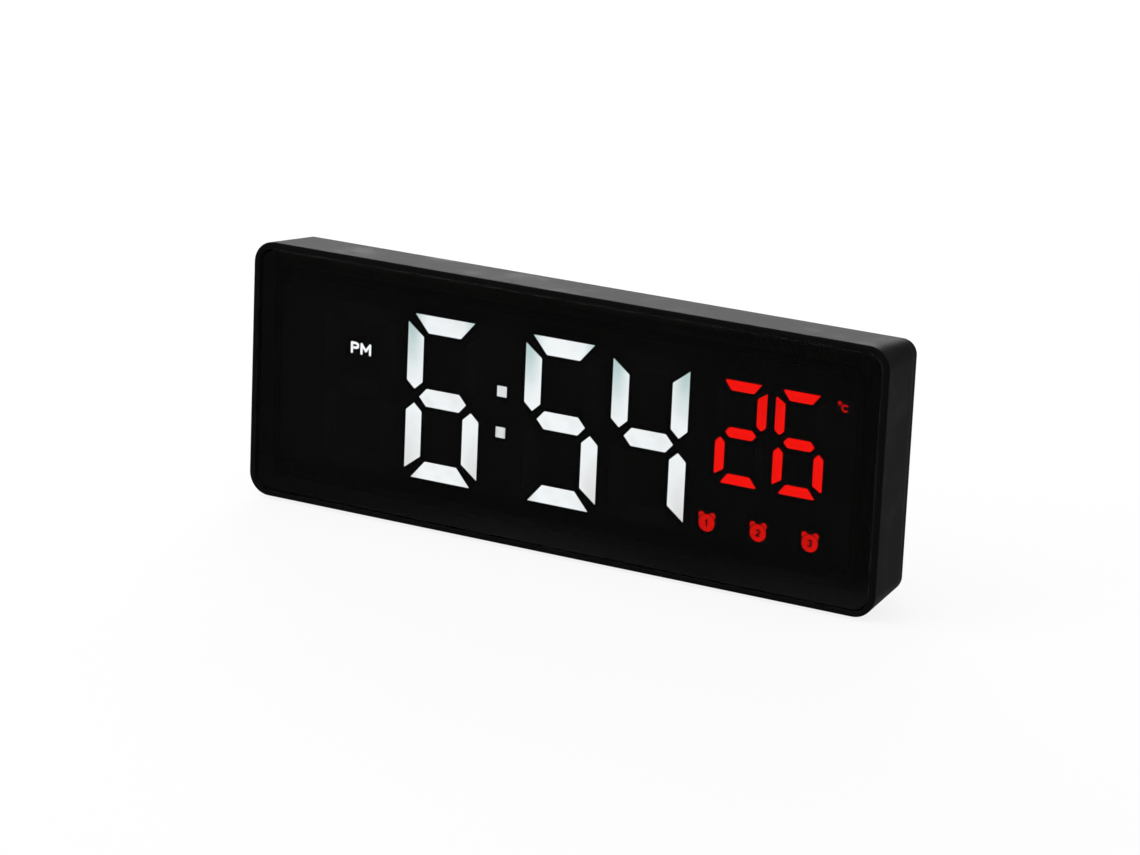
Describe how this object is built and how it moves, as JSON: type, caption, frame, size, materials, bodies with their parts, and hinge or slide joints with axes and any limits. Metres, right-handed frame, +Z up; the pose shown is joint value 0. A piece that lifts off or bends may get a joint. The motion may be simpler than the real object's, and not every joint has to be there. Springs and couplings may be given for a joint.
{
  "type": "digital desk clock",
  "caption": "Black desk clock with a smoked front panel, lit seven-segment time and temperature, alarm marks, rear keys, a hinged battery door and wall keyholes.",
  "frame": {"origin": "on the table, under the middle of the clock", "axes": "+X to the right seen from the front, along the clock's width; +Y from the front panel to the back; +Z up"},
  "size_m": [0.2, 0.0244, 0.0758],
  "materials": {
    "shell_plastic": "fine spark-eroded texture",
    "smoked_panel": "polished smoked acrylic",
    "tape": "black foam tape",
    "reflector_plastic": "matte black",
    "white_diffuser": "milky light guide",
    "dark_diffuser": "smoked light guide",
    "red_diffuser": "red light guide",
    "white_mark": "milky insert with a black ground",
    "red_mark": "red insert with a black ground",
    "board": "green solder mask",
    "white_chip": "phosphor under clear resin",
    "red_chip": "clear resin in a white frame",
    "chip_package": "moulded black with tinned legs",
    "resistor_body": "black film with tinned ends",
    "can_metal": "drawn can",
    "black_moulding": "plain black moulding",
    "sensor_bead": "dipped resin bead",
    "socket_metal": "tinned steel shell",
    "contact_metal": "nickel-plated spring steel",
    "red_wire": "smooth insulation",
    "black_wire": "smooth insulation",
    "cell_can": "printed sleeve over a metal can",
    "screw_metal": "black zinc plating",
    "pad_rubber": "matte",
    "key_plastic": "satin",
    "plunger_plastic": "plain ivory moulding"
  },
  "bodies": {
    "clock": {"front_housing": "shell_plastic", "rear_cover": "shell_plastic", "front_panel": "smoked_panel", "panel_tape": "tape", "light_block": "reflector_plastic", "hour_ten_dark_segments": "dark_diffuser", "hour_unit_lit_segments": "white_diffuser", "hour_unit_dark_segment": "dark_diffuser", "minute_ten_lit_segments": "white_diffuser", "minute_ten_dark_segments": "dark_diffuser", "minute_unit_lit_segments": "white_diffuser", "minute_unit_dark_segments": "dark_diffuser", "degree_ten_lit_segments": "red_diffuser", "degree_ten_dark_segments": "dark_diffuser", "degree_unit_lit_segments": "red_diffuser", "degree_unit_dark_segment": "dark_diffuser", "colon_dots": "white_diffuser", "pm_mark": "white_mark", "celsius_mark": "red_mark", "alarm_mark_1": "red_mark", "alarm_mark_2": "red_mark", "alarm_mark_3": "red_mark", "display_board": "board", "control_board": "board", "white_chips": "white_chip", "red_chips": "red_chip", "driver_chip": "chip_package", "controller_chip": "chip_package", "resistors": "resistor_body", "clock_crystal": "can_metal", "capacitor": "can_metal", "buzzer": "black_moulding", "thermistor": "sensor_bead", "power_inlet": "socket_metal", "link_socket": "black_moulding", "link_header": "black_moulding", "key_switches": "black_moulding", "contact_plates": "contact_metal", "contact_springs": "contact_metal", "positive_lead": "red_wire", "negative_lead": "black_wire", "cell_1": "cell_can", "cell_2": "cell_can", "cell_3": "cell_can", "cover_screws": "screw_metal", "board_screws": "screw_metal", "foot_pad_left": "pad_rubber", "foot_pad_right": "pad_rubber"},
    "mode_key_body": {"mode_key": "key_plastic", "mode_plunger": "plunger_plastic"},
    "alarm_key_body": {"alarm_key": "key_plastic", "alarm_plunger": "plunger_plastic"},
    "up_key_body": {"up_key": "key_plastic", "up_plunger": "plunger_plastic"},
    "down_key_body": {"down_key": "key_plastic", "down_plunger": "plunger_plastic"},
    "snooze_key_body": {"snooze_key": "key_plastic", "snooze_plunger": "plunger_plastic"},
    "battery_door_body": {"battery_door": "shell_plastic"}
  },
  "joints": [
    {"name": "mode_press", "type": "slide", "parent": "clock", "child": "mode_key_body", "axis": [0, -1, 0], "range_m": [0, 0.0005], "stiffness_N_per_m": 500, "springref_m": -0.001},
    {"name": "alarm_press", "type": "slide", "parent": "clock", "child": "alarm_key_body", "axis": [0, -1, 0], "range_m": [0, 0.0005], "stiffness_N_per_m": 500, "springref_m": -0.001},
    {"name": "up_press", "type": "slide", "parent": "clock", "child": "up_key_body", "axis": [0, -1, 0], "range_m": [0, 0.0005], "stiffness_N_per_m": 500, "springref_m": -0.001},
    {"name": "down_press", "type": "slide", "parent": "clock", "child": "down_key_body", "axis": [0, -1, 0], "range_m": [0, 0.0005], "stiffness_N_per_m": 500, "springref_m": -0.001},
    {"name": "snooze_press", "type": "slide", "parent": "clock", "child": "snooze_key_body", "axis": [0, -1, 0], "range_m": [0, 0.0005], "stiffness_N_per_m": 500, "springref_m": -0.001},
    {"name": "battery_door_hinge", "type": "hinge", "parent": "clock", "child": "battery_door_body", "pos_m": [-0.025, 0.01125, 0.0383], "axis": [0, 0, 1], "range_deg": [0, 85]}
  ]
}
